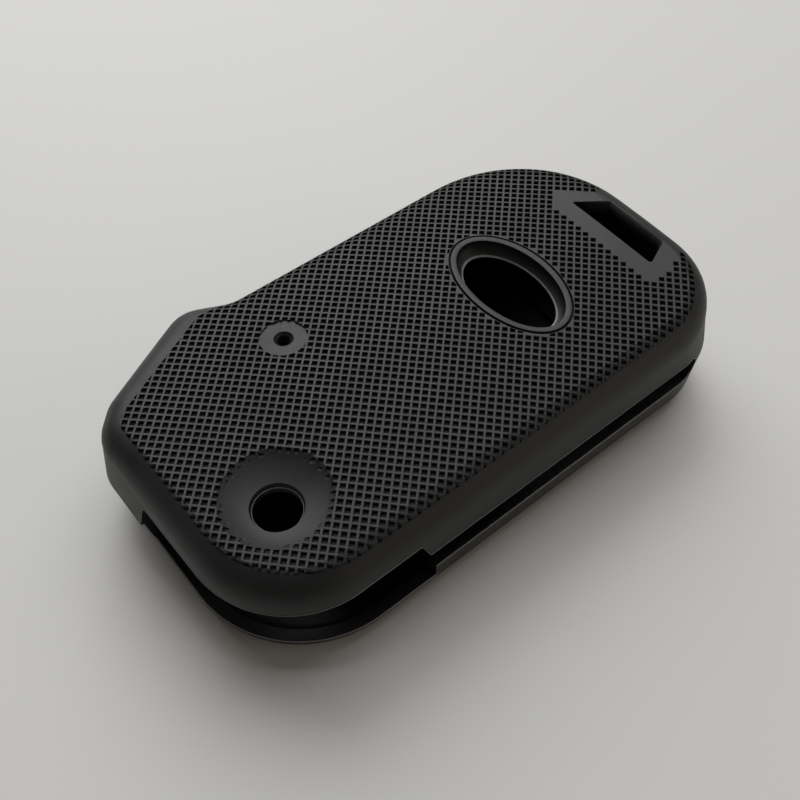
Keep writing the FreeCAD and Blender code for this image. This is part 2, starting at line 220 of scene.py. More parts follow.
# Lattice of square pits at 45 degrees
PITCH = 1.0
PIT_TOP = 0.395
PIT_DEPTH = 0.42
PIT_SECTION = (
    (-0.12, -PIT_DEPTH),
    (-0.105, -0.25),
    (-0.09, -0.15),
    (-0.07, -0.08),
    (-0.04, -0.03),
    (0.0, 0.0),
    (0.01, 0.02),
    (0.01, 1.2),
)
# Pit faces whose normal leans between these two slopes take the rim material, a painted highlight
PIT_RIM_SLOPE = -0.3
PIT_FLOOR_SLOPE = -0.95
GRID_SPAN = 92.0
GRID_TURN = 45.0
GRID_HEIGHT = 40.0
GRID_RAY = 100.0
GRID_UNEVENNESS = 0.018
GRID_FLATTEST = 0.66
GRID_SEED = 11
FIELD = [
    (-36.1, -21.25, 12.5),
    (37.4, -20.65, 11.4),
    (37.6, 19.15, 18.3),
    (-19.6, 19.15, 2.0),
    (-36.1, 10.6, 3.0),
]
RAISED = [
    (-36.1, -21.25, 12.5),
    (37.4, -20.65, 11.4),
    (37.4, -5.0, 2.0),
    (-28.0, 9.0, 2.0),
    (-36.1, 10.0, 0.5),
]
RAISED_LOW = 15.0
WHOLE_PIT = 0.15

# How far tools reach past what they cut, and small clearances
OVER = 2.0
THROUGH = 1.0
CAP_OVER = 0.25
SPLIT_REACH = 60.0
CLEAR = 0.02
WELD = 0.0005

# Direction in plan from the camera to the far side
AWAY = Vector((0.624, 0.781))

# Shading: how level the flat front face is, and the least angle of a sharp edge
LEVEL_DOWN = -0.99999
SHARP_ANGLE = 32.0

# Fineness of the meshes
PLAN_ARC_STEPS = 18
PLAN_SIDE_STEPS = (36, 8, 24, 2, 8, 2, 12)
MOUTH_ARC_STEPS = 60
MOUTH_SIDE_STEPS = (260, 1, 1, 1, 1, 1, 60)
BUTTON_ARC_STEPS = 10
BUTTON_SIDE_STEPS = (8, 14, 8, 14)
SLOT_ARC_STEPS = 6
SLOT_SIDE_STEPS = (4, 16, 4, 16)
PRISM_ARC_STEPS = 10
PRISM_SIDE_STEPS = 2
TURN_STEPS = 96
SCREW_STEPS = 48
OVAL_STEPS = 112
OUTSIDE_EDGE_STEPS = 12
RIDGE_EDGE_STEPS = 10
INSIDE_EDGE_STEPS = 4
CROWN_GRID = 1.5
LIP_STEPS = 5
FLASH_SIDES = 6
BOWL_STEPS = 24
THROAT_STEPS = 8
BEAD_STEPS = 7
FUNNEL_STEPS = 10
SLOT_FLARE_STEPS = 8
SLOT_EDGE_STEPS = 3
WINDOW_EDGE_STEPS = 4
DOME_STEPS = 4
PAD_EDGE_STEPS = 5
WEB_STEPS = 8

# Stage, in metres and watts
FLOOR_HALF = 1.6
FLOOR_GAP = 0.00004
FLOOR_COLOUR = (0.66, 0.655, 0.64, 1)
FLOOR_ROUGHNESS = 0.55
SKY_COLOUR = (1.0, 0.93, 0.82, 1)
SKY_STRENGTH = 0.11
SOFTBOXES = (
    # name, place, width, power, colour
    ("window", (0.2, 0.7, 0.58), 0.9, 5.3, (0.985, 0.985, 0.985)),
    ("ceiling", (0.52, 0.34, 1.02), 1.3, 8.0, (0.97, 0.985, 1.0)),
    ("room", (0.6, -0.85, 0.45), 0.9, 1.3, (1.0, 0.9, 0.78)),
)
CAMERA_PLACE = (-0.05388, -0.06561, 0.11914)
CAMERA_AIM = (0.36809, 0.46113, -0.80738)
CAMERA_LENS = 46.825
CAMERA_SENSOR = 36.0
CAMERA_NEAREST = 0.005


def crown_height(y):
    """Height of the crowned back at y."""
    return THICKNESS - CROWN_RADIUS + math.sqrt(CROWN_RADIUS ** 2 - (y - CROWN_Y) ** 2)


def corner_arc(before, here, after, radius):
    """Start, centre and end of the arc that rounds a corner."""
    back = (before - here).normalized()
    onward = (after - here).normalized()
    half = back.angle(onward) / 2
    middle = (back + onward).normalized()
    run = radius / math.tan(half)
    return here + back * run, here + middle * (radius / math.sin(half)), here + onward * run


def rounded(corners, arc_steps, side_steps):
    """Points round an outline of (x, y, radius) corners; side_steps has a count for each side."""
    count = len(corners)
    spots = [Vector(corner[:2]) for corner in corners]
    arcs = [
        corner_arc(spots[i - 1], spots[i], spots[(i + 1) % count], corners[i][2])
        for i in range(count)
    ]
    points = []
    for i, (start, centre, stop) in enumerate(arcs):
        first = math.atan2(*(start - centre).yx)
        turn = math.atan2(*(stop - centre).yx) - first
        turn = (turn + math.pi) % (2 * math.pi) - math.pi
        radius = (start - centre).length
        for k in range(arc_steps + 1):
            angle = first + turn * k / arc_steps
            points.append(centre + radius * Vector((math.cos(angle), math.sin(angle))))
        onward = arcs[(i + 1) % count][0]
        steps = side_steps[i]
        points += [stop.lerp(onward, k / steps) for k in range(1, steps)]
    return points


def inset(corners, depth):
    """The same outline moved inwards by depth; corners run anticlockwise."""
    moved = []
    for i, (x, y, radius) in enumerate(corners):
        here = Vector((x, y))
        along = (here - Vector(corners[i - 1][:2])).normalized()
        onward = (Vector(corners[(i + 1) % len(corners)][:2]) - here).normalized()
        left = Vector((-along.y - onward.y, along.x + onward.x)).normalized()
        turn = along.x * onward.y - along.y * onward.x
        lean = left.y * along.x - left.x * along.y
        place = here + left * (depth / lean)
        moved.append((place.x, place.y, radius - math.copysign(depth, turn)))
    return moved


def rectangle(length, width, radius, x, y):
    half_length = length / 2
    half_width = width / 2
    return [
        (x - half_length, y - half_width, radius),
        (x + half_length, y - half_width, radius),
        (x + half_length, y + half_width, radius),
        (x - half_length, y + half_width, radius),
    ]


def outline(pivot_inset=0, pivot_growth=0, keyring_growth=0, chamfer_inset=0, closed_inset=0):
    """Plan of the cover, anticlockwise from the mouth's pivot corner."""
    closed = CLOSED - closed_inset
    shoulder = PIVOT_END + closed_inset / 2
    return [
        (PIVOT_END + pivot_inset, MOUTH, PIVOT_CORNER + pivot_growth),
        (KEYRING_END, MOUTH + MOUTH_LEAN, MOUTH_CORNER + keyring_growth),
        (KEYRING_END, closed, CLOSED_CORNER - 2 * closed_inset),
        (PIVOT_END + WAIST_RUN, closed, WAIST_CORNER),
        (shoulder + SHOULDER_RUN, closed + SHOULDER_RISE, SHOULDER_CORNER),
        (shoulder + CHAMFER_RUN, MOUTH + CHAMFER_FAR - closed_inset, CHAMFER_FAR_CORNER),
        (PIVOT_END + chamfer_inset, MOUTH + CHAMFER_NEAR, CHAMFER_NEAR_CORNER),
    ]


def base_outline():
    return outline(FRONT_PIVOT_INSET, FRONT_PIVOT_GROWTH, 0, FRONT_PIVOT_INSET)


def cap_outline():
    return outline(
        BACK_PIVOT_INSET,
        BACK_PIVOT_GROWTH,
        KEYRING_CORNER_GROWTH,
        BACK_CHAMFER_INSET,
        BACK_CLOSED_INSET,
    )


def plan_ring(corners, height):
    """Ring of points round a plan outline; height gives z from x and y."""
    points = rounded(corners, PLAN_ARC_STEPS, PLAN_SIDE_STEPS)
    return [(p.x, p.y, height(p.x, p.y)) for p in points]


def add_object(name, mesh):
    piece = bpy.data.objects.new(name, mesh)
    bpy.context.scene.collection.objects.link(piece)
    return piece


def from_bmesh(name, work, material):
    """New object from a bmesh, with its normals made to point outwards."""
    bmesh.ops.recalc_face_normals(work, faces=work.faces)
    mesh = bpy.data.meshes.new(name)
    work.to_mesh(mesh)
    work.free()
    mesh.materials.append(material)
    return add_object(name, mesh)


def loft(name, rings, material, closed=False):
    """Closed skin through rings of points; a closed loft joins its last ring to its first."""
    work = bmesh.new()
    loops = [[work.verts.new(p) for p in ring] for ring in rings]
    pairs = list(zip(loops, loops[1:]))
    if closed:
        pairs.append((loops[-1], loops[0]))
    else:
        work.faces.new(loops[0][::-1])
        work.faces.new(loops[-1])
    for low, high in pairs:
        for i in range(len(low)):
            k = (i + 1) % len(low)
            work.faces.new((low[i], low[k], high[k], high[i]))
    return from_bmesh(name, work, material)


def circle(x, y, z, radius, steps=TURN_STEPS):
    angles = [2 * math.pi * k / steps for k in range(steps)]
    return [(x + radius * math.cos(a), y + radius * math.sin(a), z) for a in angles]


def turned(name, profile, x, y, material, steps=TURN_STEPS):
    """Solid of revolution through (radius, z) points, from one end to the other."""
    rings = [circle(x, y, z, radius, steps) for radius, z in profile]
    return loft(name, rings, material)


def oval_ring(semi, place, height):
    """Ellipse of points with its longer axis along Y; height gives z from x and y."""
    ring = []
    for k in range(OVAL_STEPS):
        angle = 2 * math.pi * k / OVAL_STEPS
        x = place[0] + semi[0] * math.cos(angle)
        y = place[1] + semi[1] * math.sin(angle)
        ring.append((x, y, height(x, y)))
    return ring


def level(z):
    return lambda x, y: z


def crown_less(depth):
    return lambda x, y: crown_height(y) - depth


def remove(piece):
    mesh = piece.data
    bpy.data.objects.remove(piece)
    bpy.data.meshes.remove(mesh)


def baked(piece):
    """Puts the result of a piece's modifiers into its mesh."""
    depsgraph = bpy.context.evaluated_depsgraph_get()
    mesh = bpy.data.meshes.new_from_object(piece.evaluated_get(depsgraph))
    piece.modifiers.clear()
    old = piece.data
    piece.data = mesh
    bpy.data.meshes.remove(old)


def combine(piece, tool, operation):
    """Joins, cuts or crosses two solids; the tool's faces keep their own material."""
    step = piece.modifiers.new("combine", "BOOLEAN")
    step.operation = operation
    step.solver = "MANIFOLD"
    step.material_mode = "TRANSFER"
    step.object = tool
    baked(piece)
    remove(tool)


def block(name, low, high, material):
    corners = [(low[0], low[1]), (high[0], low[1]), (high[0], high[1]), (low[0], high[1])]
    return loft(name, [[(x, y, z) for x, y in corners] for z in (low[2], high[2])], material)


def paint(piece, material, chosen):
    """Gives another material to the faces that chosen picks."""
    piece.data.materials.append(material)
    for face in piece.data.polygons:
        if chosen(face):
            face.material_index = len(piece.data.materials) - 1


def quarter_round(radius, steps):
    """Inset and depth of points round a rounded edge, from the wall to the face."""
    angles = [math.pi / 2 * i / steps for i in range(steps + 1)]
    return [(radius * (1 - math.cos(a)), radius * (1 - math.sin(a))) for a in angles]


def crown_space(depth, material):
    """Everything under the crowned back, lowered by depth, as a fine grid."""
    low_x = PIVOT_END - OVER
    low_y = MOUTH - OVER
    columns = round((KEYRING_END - PIVOT_END + 2 * OVER) / CROWN_GRID)
    rows = round((SHOULDER_TIP - MOUTH + 2 * OVER) / CROWN_GRID)
    work = bmesh.new()
    tops = []
    for i in range(columns + 1):
        x = low_x + i * CROWN_GRID
        ys = [low_y + k * CROWN_GRID for k in range(rows + 1)]
        tops.append([work.verts.new((x, y, crown_height(y) - depth)) for y in ys])
    for i in range(columns):
        for k in range(rows):
            work.faces.new((tops[i][k], tops[i + 1][k], tops[i + 1][k + 1], tops[i][k + 1]))
    rim = [tops[i][0] for i in range(columns)]
    rim += [tops[columns][k] for k in range(rows)]
    rim += [tops[i][rows] for i in range(columns, 0, -1)]
    rim += [tops[0][k] for k in range(rows, 0, -1)]
    feet = [work.verts.new((v.co.x, v.co.y, -OVER)) for v in rim]
    for i in range(len(rim)):
        k = (i + 1) % len(rim)
        work.faces.new((feet[i], feet[k], rim[k], rim[i]))
    work.faces.new(feet[::-1])
    return from_bmesh("crown_space", work, material)


def round_drop(radius, step):
    """How far a rounded edge has fallen at an inset from its wall."""
    return radius - math.sqrt(max(radius ** 2 - max(radius - step, 0) ** 2, 0))


def border_share(x, y):
    """1 along the mouth and the pivot end, where the smooth border falls lower; 0 elsewhere."""
    along_mouth = smooth_step((BORDER_STOP[0] - x) / BORDER_FADE)
    along_end = smooth_step((BORDER_STOP[1] - y) / BORDER_FADE)
    return along_mouth * along_end


def pillow(name, margin, low, depth, top_radius, low_radius, steps, material, wide_radius=None):
    """Rounded block, widest at the parting height: the cover's outside, or the space inside it."""
    wide_radius = wide_radius or top_radius
    cap_low = crown_height(SHOULDER_TIP) - depth - top_radius
    base_high = low + low_radius
    back_lean = (cap_low - PARTING) * math.tan(math.radians(BACK_DRAFT))
    front_lean = (PARTING - base_high) * math.tan(math.radians(FRONT_DRAFT))
    base_plan = inset(base_outline(), margin + front_lean)
    cap_plan = inset(cap_outline(), margin + back_lean)
    cap_insets = [step for step, _ in quarter_round(wide_radius, steps)]
    over_inset = wide_radius + (wide_radius - cap_insets[-2]) / 2

    def cap_height(step):
        narrow = round_drop(top_radius, step)
        wide = round_drop(wide_radius, step)

        def height(x, y):
            return crown_height(y) - depth - narrow - (wide - narrow) * border_share(x, y)

        return height

    rings = [
        plan_ring(inset(base_plan, step), level(low + drop))
        for step, drop in reversed(quarter_round(low_radius, steps))
    ]
    ledge = outline(PARTING_LEDGE, FRONT_PIVOT_GROWTH / 2, 0, PARTING_LEDGE)
    rings.append(plan_ring(inset(ledge, margin), level(PARTING - PARTING_STEP)))
    rings.append(plan_ring(inset(outline(), margin), level(PARTING)))
    rings += [plan_ring(inset(cap_plan, step), cap_height(step)) for step in cap_insets[:-1]]
    rings.append(plan_ring(inset(cap_plan, over_inset), crown_less(depth - CAP_OVER)))
    rings.append(plan_ring(inset(cap_plan, over_inset), level(THICKNESS + OVER)))
    body = loft(name, rings, material)
    combine(body, crown_space(depth, material), "INTERSECT")
    return body


def outer_form(material):
    """Outside of the cover. The smooth border falls a little lower than the ridges beside it."""
    rounds = (BACK_ROUND, FRONT_ROUND)
    body = pillow("shell", 0, 0, -CLEAR, *rounds, OUTSIDE_EDGE_STEPS, material, BORDER_ROUND)
    raised = pillow("raised", 0, 0, -CLEAR, *rounds, RIDGE_EDGE_STEPS, material)
    combine(raised, prism_of("raised_field", RAISED, material, low=RAISED_LOW), "INTERSECT")
    combine(body, raised, "UNION")
    combine(body, crown_space(0, material), "INTERSECT")
    return body


def pitted_surface(material):
    """Height of the ridges. It has no surface where the frame and the oval ring stay smooth."""
    surface = pillow("surface", 0, 0, 0, BACK_ROUND, FRONT_ROUND, RIDGE_EDGE_STEPS, material)
    frame_clear = prism_of("frame_clear", inset(SLOT_FRAME, -WHOLE_PIT), material, low=-OVER)
    combine(surface, frame_clear, "DIFFERENCE")
    ring_clear = oval_prism("ring_clear", shrunk(BADGE_OUTER, -BADGE_BORDER), -OVER, material)
    combine(surface, ring_clear, "DIFFERENCE")
    return surface


def uneven(seed, count):
    """Function of a running length that wanders smoothly between -1 and 1, the same each run."""
    dice = random.Random(seed)
    values = [dice.uniform(-1, 1) for _ in range(count)]

    def wander(place):
        whole = math.floor(place)
        here = values[whole % count]
        return here + (values[(whole + 1) % count] - here) * smooth_step(place - whole)

    return wander


def smooth_step(value):
    """Eases from 0 to 1, level at both ends."""
    value = min(max(value, 0), 1)
    return value * value * (3 - 2 * value)


def mouth_stations():
    """Places along the mouth, each with its inward direction and three points up the wall."""
    cap_low = crown_height(SHOULDER_TIP) - BACK_ROUND
    back_lean = (cap_low - PARTING) * math.tan(math.radians(BACK_DRAFT))
    front_lean = (PARTING - FRONT_ROUND) * math.tan(math.radians(FRONT_DRAFT))
    plans = (
        inset(base_outline(), front_lean),
        outline(),
        inset(cap_outline(), back_lean),
        inset(outline(), 1.0),  # a millimetre in, which gives the inward direction
    )
    low, middle, high, within = (
        rounded(plan, MOUTH_ARC_STEPS, MOUTH_SIDE_STEPS) for plan in plans
    )
    stations = []
    for a, b, c, d in zip(low, middle, high, within):
        wall = [(*a, FRONT_ROUND), (*b, PARTING), (*c, cap_low)]
        stations.append(([Vector(p) for p in wall], (d - b).to_3d()))
    side_start = len(stations) - MOUTH_SIDE_STEPS[-1] + 1
    ordered = stations[side_start:] + stations[:side_start]
    kept = []
    for wall, inward in ordered:
        at = wall[1]
        on_pivot_end = at.x < PIVOT_END + CLEAR / 2
        if on_pivot_end and at.y > PIVOT_SLIT_END_Y:
            continue
        if at.x > BLADE_END_X:
            break
        kept.append((wall, inward))
    return kept


def wall_point(wall, z):
    """Point on the outer wall at the height z."""
    below, above = (wall[0], wall[1]) if z < wall[1].z else (wall[1], wall[2])
    return below.lerp(above, (z - below.z) / (above.z - below.z))


def mouth_tools(slit_shade_material, lip_highlight_material):
    """Sweep that opens the mouth, with a step and an uneven lower edge; the upper lip's flash."""
    stations = mouth_stations()
    runs = [0.0]
    for (before, _), (after, _) in zip(stations, stations[1:]):
        runs.append(runs[-1] + (after[1] - before[1]).length)
    wander = uneven(WANDER_SEED, WANDER_DRAWS)
    bend = quarter_round(1, LIP_STEPS)
    spokes = [2 * math.pi * k / FLASH_SIDES for k in range(FLASH_SIDES)]
    rings = []
    beads = []
    for (wall, inward), run in zip(stations, runs):
        along = smooth_step((wall[1].x - SLIT_STEP_X) / SLIT_STEP_RUN + 0.5)
        low = PIVOT_LOW + (BLADE_LOW - PIVOT_LOW) * along
        high = PIVOT_HIGH + (BLADE_HIGH - PIVOT_HIGH) * along
        fine = RAGGED_FINE_SHARE * wander(run * RAGGED_FINE_WAVES)
        low += RAGGED * along * (wander(run * RAGGED_WAVES) + fine)
        high += UPPER_WANDER * wander(run * UPPER_WAVES + UPPER_WAVES_START)
        from_end = min(run, runs[-1] - run)
        if from_end < SLIT_END_ROUND:
            cut = SLIT_END_ROUND - from_end
            pinch = SLIT_END_ROUND - math.sqrt(max(SLIT_END_ROUND ** 2 - cut ** 2, 0))
            low += pinch
            high -= pinch
        ring = [
            wall_point(wall, low - LOWER_LIP * drop) + inward * (LOWER_LIP * depth)
            for depth, drop in bend
        ]
        ring.append(wall_point(wall, low) + inward * MOUTH_REACH)
        ring.append(wall_point(wall, high) + inward * MOUTH_REACH)
        ring += [
            wall_point(wall, high + UPPER_LIP * drop) + inward * (UPPER_LIP * depth)
            for depth, drop in reversed(bend)
        ]
        ring.append(wall_point(wall, high + UPPER_LIP) - inward * OVER)
        ring.append(wall_point(wall, low - LOWER_LIP) - inward * OVER)
        rings.append(ring)
        heart = wall_point(wall, high + UPPER_LIP)
        beads.append([
            heart + FLASH * (inward * math.cos(a) + Vector((0, 0, math.sin(a)))) for a in spokes
        ])
    # The slit's cut faces take the dark inside material, painted shade; the lip roundings and the
    # flash take the light lip material, a painted highlight
    cutter = loft("mouth_cutter", rings, slit_shade_material)
    upper_start = LIP_STEPS + 3  # past the lower lip, the sill, the far side and the head

    def on_lip(face):
        # The loft's first two faces are its ends.
        along_ring = (face.index - 2) % len(rings[0])
        on_lower = along_ring < LIP_STEPS
        return on_lower or upper_start <= along_ring < upper_start + LIP_STEPS

    paint(cutter, lip_highlight_material, on_lip)
    return cutter, loft("flash", beads, lip_highlight_material)


def dish_cutter(material, dark, light):
    """Bowl that ends in a short steep throat, with a fine bead round the hole."""
    rim = crown_height(DISH[1] - DISH_RADIUS)
    ball = (DISH_RADIUS ** 2 + DISH_DEPTH ** 2) / (2 * DISH_DEPTH)
    centre = rim - DISH_DEPTH + ball
    lip = PIVOT_HOLE + 2 * PIVOT_BEAD

    def bowl(radius):
        z = centre - math.sqrt(ball ** 2 - radius ** 2)
        share = max(0, (DISH_THROAT - radius) / (DISH_THROAT - lip))
        return z - DISH_THROAT_DROP * share ** DISH_THROAT_CURVE

    outer = DISH_RADIUS + DISH_OVER
    radii = [outer + (DISH_THROAT - outer) * k / BOWL_STEPS for k in range(BOWL_STEPS + 1)]
    radii += [
        DISH_THROAT + (lip - DISH_THROAT) * k / THROAT_STEPS for k in range(1, THROAT_STEPS + 1)
    ]
    profile = [(outer, THICKNESS + OVER)] + [(radius, bowl(radius)) for radius in radii]
    bead_start = len(profile) - 1
    bead_stop = bead_start + BEAD_STEPS
    throat_start = bead_start - THROAT_STEPS + 2
    edge = bowl(lip)
    for k in range(1, BEAD_STEPS):
        angle = math.pi * k / BEAD_STEPS
        across = PIVOT_BEAD * (1 + math.cos(angle))
        profile.append((PIVOT_HOLE + across, edge + 2 * PIVOT_BEAD * math.sin(angle)))
    profile += [(PIVOT_HOLE, edge - drop) for drop in PIVOT_EDGE]
    profile.append((PIVOT_HOLE, PARTING))
    rings = []
    for radius, z in profile:
        share = smooth_step((radius - lip) / (DISH_RADIUS - lip))
        x = PIVOT[0] + (DISH[0] - PIVOT[0]) * share
        y = PIVOT[1] + (DISH[1] - PIVOT[1]) * share
        rings.append(circle(x, y, z, radius))
    cutter = loft("dish_cutter", rings, material)

    def band(face):
        # The loft's first two faces are its ends.
        return (face.index - 2) // TURN_STEPS

    def shaded(face):
        return face.center.z < edge - PIVOT_DARK or throat_start <= band(face) < bead_start

    # Throat and hole take the dark material, painted shade; the bead takes the light material, a
    # painted highlight
    paint(cutter, dark, shaded)
    paint(cutter, light, lambda face: bead_start <= band(face) < bead_stop)
    return cutter


def screw_cutter(material):
    """Funnel with a soft rim, down to a small hole."""
    top = crown_height(SCREW[1])
    profile = [(SCREW_FUNNEL + out, top - drop) for out, drop in SCREW_FUNNEL_EDGE]
    profile += [(SCREW_HOLE + out, top - drop) for out, drop in SCREW_HOLE_EDGE]
    profile.insert(0, (profile[0][0], THICKNESS + OVER))
    profile.append((SCREW_HOLE, PARTING))
    return turned("screw_cutter", profile, *SCREW, material, SCREW_STEPS)


def shrunk(semi, amount):
    return semi[0] - amount, semi[1] - amount


def badge_ring(material, light):
    """Oval ring with a flat land and an undercut funnel wall that curves in to a fine lip."""
    section = [(BADGE_OUTER, BACK_WALL - BADGE_FOOT)]
    section += [(shrunk(BADGE_OUTER, step), depth) for step, depth in BADGE_LAND_SECTION]
    inner = shrunk(BADGE_OUTER, BADGE_LAND - BADGE_UNDERCUT)
    fall = BADGE_FUNNEL_DEPTH - BADGE_UNDERCUT_DEPTH
    for k in range(FUNNEL_STEPS + 1):
        share = k / FUNNEL_STEPS
        bend = share ** BADGE_FUNNEL_CURVE
        semi = tuple(a + (b - a) * bend for a, b in zip(inner, BADGE_OPENING))
        section.append((semi, BADGE_UNDERCUT_DEPTH + fall * share))
    lip_start = len(section) - 1
    section += [
        (shrunk(BADGE_OPENING, step), BADGE_FUNNEL_DEPTH + depth)
        for step, depth in BADGE_LIP_SECTION
    ]
    rings = [oval_ring(semi, BADGE, crown_less(depth)) for semi, depth in section]
    ring = loft("badge_ring", rings, material, closed=True)
    # The faces at the lip take the light material, a painted highlight
    paint(ring, light, lambda face: 0 <= lip_start - face.index // len(rings[0]) <= 1)
    return ring


def oval_prism(name, semi, low, material):
    rings = [oval_ring(semi, BADGE, level(z)) for z in (low, THICKNESS + OVER)]
    return loft(name, rings, material)


def badge_groove(material):
    """Narrow groove round the badge ring."""
    sides = BADGE_GROOVE_DEPTH - BADGE_GROOVE_ROUND
    wall = shrunk(BADGE_OUTER, -BADGE_GROOVE)
    edge = shrunk(wall, -BADGE_GROOVE_EDGE)
    section = [(BADGE_OUTER, -OVER), (BADGE_OUTER, sides)]
    section += [
        (shrunk(BADGE_OUTER, -BADGE_GROOVE * share), BADGE_GROOVE_DEPTH)
        for share in BADGE_GROOVE_FLOOR
    ]
    section += [(wall, sides), (wall, BADGE_GROOVE_EDGE), (edge, -CLEAR), (edge, -OVER)]
    rings = [oval_ring(semi, BADGE, crown_less(depth)) for semi, depth in section]
    return loft("badge_groove", rings, material, closed=True)


def slot_cutter(material, dark):
    """Slot through both faces, crisp on its inner side and soft on its outer side."""
    rings = []

    def add(margin, outer, z):
        corners = inset(SLOT, -margin)
        for i in (1, 2):
            x, y, radius = corners[i]
            corners[i] = (x + outer, y, radius)
        points = rounded(corners, SLOT_ARC_STEPS, SLOT_SIDE_STEPS)
        rings.append([(p.x, p.y, z) for p in points])

    add(SLOT_EDGE, 0, -OVER)
    for inset_by, drop in reversed(quarter_round(SLOT_EDGE, SLOT_EDGE_STEPS)):
        add(SLOT_EDGE - inset_by, 0, SLOT_EDGE - drop)
    for flare, drop in quarter_round(1, SLOT_FLARE_STEPS):
        z = SLOT_TOP - SLOT_OUTER_DROP * drop + CLEAR
        add(SLOT_EDGE * flare, SLOT_OUTER_EDGE * flare, z)
    add(SLOT_EDGE, SLOT_OUTER_EDGE, THICKNESS + OVER)
    cutter = loft("slot_cutter", rings, material)
    # The slot's deeper walls take the dark material, painted shade
    paint(cutter, dark, lambda face: SLOT_EDGE < face.center.z < SLOT_TOP - SLOT_DARK_DROP)
    return cutter


def release_cutter(material):
    """Dished hole in the front face, on the pivot's axis."""
    profile = [(RELEASE_DISH + out, z) for out, z in RELEASE_DISH_EDGE]
    profile += [(RELEASE_HOLE + out, RELEASE_DEPTH + rise) for out, rise in RELEASE_HOLE_EDGE]
    profile.insert(0, (profile[0][0], -OVER))
    profile.append((RELEASE_HOLE, FRONT_WALL + THROUGH))
    return turned("release_cutter", profile, *PIVOT, material)


def button_place(index):
    return BUTTON_FIRST[0] + index * BUTTON_PITCH, BUTTON_FIRST[1]


def button_ring(index, margin, z):
    corners = rectangle(BUTTON_LENGTH, BUTTON_WIDTH, BUTTON_CORNER, *button_place(index))
    points = rounded(inset(corners, -margin), BUTTON_ARC_STEPS, BUTTON_SIDE_STEPS)
    return [(p.x, p.y, z) for p in points]


def button_cutter(index, material):
    """Opening for a pad and its web, with a soft edge in the front face."""
    wide = WEB_SPAN + WINDOW_SOFT
    rings = [button_ring(index, wide, -OVER)]
    for inset_by, drop in reversed(quarter_round(WINDOW_SOFT, WINDOW_EDGE_STEPS)):
        rings.append(button_ring(index, wide - inset_by, WINDOW_SOFT - drop))
    rings.append(button_ring(index, WEB_SPAN, FRONT_WALL + THROUGH))
    return loft("button_cutter", rings, material)


def prism_of(name, corners, material, low=PARTING):
    """Upright block with a rounded outline, up to well above the back."""
    points = rounded(corners, PRISM_ARC_STEPS, (PRISM_SIDE_STEPS,) * len(corners))
    rings = [[(p.x, p.y, z) for p in points] for z in (low, THICKNESS + OVER)]
    return loft(name, rings, material)


def face_height(place, reach, near, far):
    """Flat face at a place on the crown, sunk by near on the camera's side and by far beyond it."""
    slope = (CROWN_Y - place[1]) / CROWN_RADIUS

    def height(x, y):
        share = 0.5 + 0.5 * AWAY.dot((x - place[0], y - place[1])) / reach
        return crown_height(place[1]) + slope * (y - place[1]) - near - (far - near) * share

    return height


def face_cutter(name, semi, place, depths, material):
    """Sinks a flat oval face into the back."""
    height = face_height(place, max(semi), *depths)
    rings = [oval_ring(semi, place, height), oval_ring(semi, place, level(THICKNESS + OVER))]
    return loft(name, rings, material)


def lattice_field(material):
    """The part of the back that has pits: all but smooth borders and the smooth features."""
    field = prism_of("lattice_field", inset(FIELD, -3 * CLEAR), material)
    border = shrunk(BADGE_OUTER, -BADGE_GROOVE - BADGE_PITS_OUT)
    low = PARTING - THROUGH
    combine(field, oval_prism("ring_border", border, low, material), "DIFFERENCE")
    for place, radius in ((DISH, DISH_RADIUS - DISH_PITS_IN), (SCREW, SCREW_PAD - CLEAR)):
        profile = [(radius, low), (radius, THICKNESS + 2 * OVER)]
        combine(field, turned("disc", profile, *place, material), "DIFFERENCE")
    return field


def pit_shape(material):
    """One square pit with a rounded rim, standing on the local height of the back."""
    section = [(PIT_TOP + out, z) for out, z in PIT_SECTION]
    rings = [[(-h, -h, z), (h, -h, z), (h, h, z), (-h, h, z)] for h, z in section]
    return loft("pit", rings, material)


